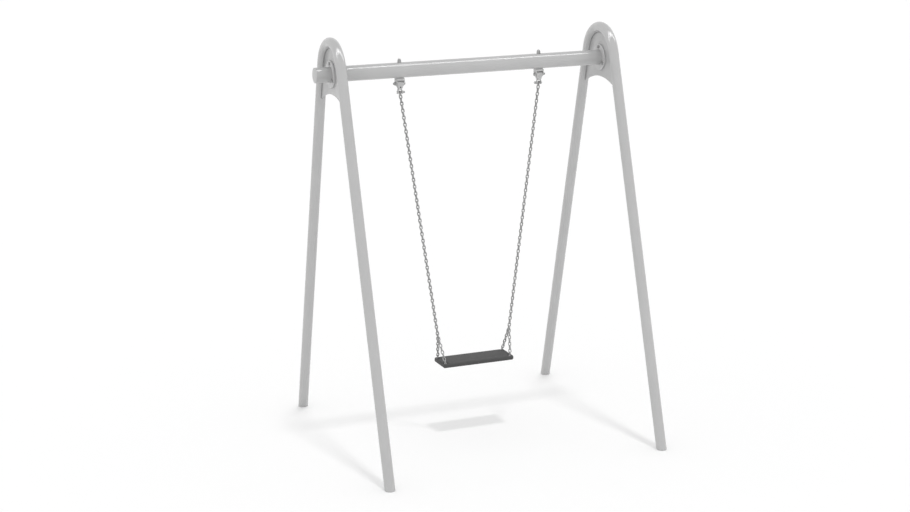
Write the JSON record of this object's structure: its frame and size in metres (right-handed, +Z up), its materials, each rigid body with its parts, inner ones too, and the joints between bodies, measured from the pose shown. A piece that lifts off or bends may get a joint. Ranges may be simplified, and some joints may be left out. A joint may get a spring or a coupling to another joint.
{
  "type": "swing set",
  "caption": "Free-standing steel swing frame with bent-tube end frames and a round cross beam that carries a flat rubber seat on chains from swivelling hangers.",
  "frame": {"origin": "on the ground, under the middle of the cross beam", "axes": "+X along the cross beam to the viewer's right, +Y to the back, away from the viewer, +Z up"},
  "size_m": [1.9, 1.7228, 2.425],
  "materials": {
    "painted_steel": "light grey smooth coat, satin",
    "galvanised": "dull zinc on steel",
    "grey_plastic": "light grey moulded plastic, in the shade of the painted steel",
    "seat_rubber": "dark grey moulded rubber, fine grain"
  },
  "bodies": {
    "frame": {"cross_beam": "painted_steel", "end_frame_left": "painted_steel", "web_plate_left": "painted_steel", "end_frame_right": "painted_steel", "web_plate_right": "painted_steel", "flange_left_inner": "painted_steel", "flange_left_outer": "painted_steel", "flange_right_inner": "painted_steel", "flange_right_outer": "painted_steel", "beam_cap_left": "grey_plastic", "beam_cap_right": "grey_plastic", "foot_plug_left_front": "grey_plastic", "foot_plug_left_back": "grey_plastic", "foot_plug_right_front": "grey_plastic", "foot_plug_right_back": "grey_plastic", "saddle_pad_left": "galvanised", "hanger_yoke_left": "galvanised", "hanger_bolt_left": "galvanised", "hanger_washer_left": "galvanised", "cap_nut_left": "galvanised", "pivot_bolt_left": "galvanised", "pivot_nut_left": "galvanised", "saddle_pad_right": "galvanised", "hanger_yoke_right": "galvanised", "hanger_bolt_right": "galvanised", "hanger_washer_right": "galvanised", "cap_nut_right": "galvanised", "pivot_bolt_right": "galvanised", "pivot_nut_right": "galvanised", "flange_bolt_left_1": "galvanised", "flange_bolt_left_2": "galvanised", "flange_bolt_left_3": "galvanised", "flange_bolt_right_1": "galvanised", "flange_bolt_right_2": "galvanised", "flange_bolt_right_3": "galvanised", "flange_nut_left_1": "galvanised", "flange_nut_left_2": "galvanised", "flange_nut_left_3": "galvanised", "flange_nut_right_1": "galvanised", "flange_nut_right_2": "galvanised", "flange_nut_right_3": "galvanised"},
    "left_suspension": {"pendulum_left": "galvanised", "cross_pin_left": "galvanised", "shackle_left": "galvanised", "shackle_pin_left": "galvanised", "chain_left": "galvanised", "junction_link_left": "galvanised"},
    "right_suspension": {"pendulum_right": "galvanised", "cross_pin_right": "galvanised", "shackle_right": "galvanised", "shackle_pin_right": "galvanised", "chain_right": "galvanised", "junction_link_right": "galvanised"},
    "seat": {"seat_chain_left_front": "galvanised", "seat_chain_left_back": "galvanised", "seat_chain_right_front": "galvanised", "seat_chain_right_back": "galvanised", "seat_pad": "seat_rubber", "seat_insert": "galvanised"}
  },
  "joints": [
    {"name": "left_swing", "type": "hinge", "parent": "frame", "child": "left_suspension", "pos_m": [-0.4375, 0, 2.1374], "axis": [1, 0, 0], "range_deg": [-60, 60]},
    {"name": "right_swing", "type": "hinge", "parent": "frame", "child": "right_suspension", "pos_m": [0.4375, 0, 2.1374], "axis": [1, 0, 0], "range_deg": [-60, 60]},
    {"name": "seat_tilt", "type": "hinge", "parent": "left_suspension", "child": "seat", "pos_m": [-0.23118, 0, 0.59827], "axis": [1, 0, 0], "range_deg": [-30, 30]}
  ],
  "couplings": [
    {"joint": "right_swing", "follows": "left_swing", "ratio": 1}
  ]
}
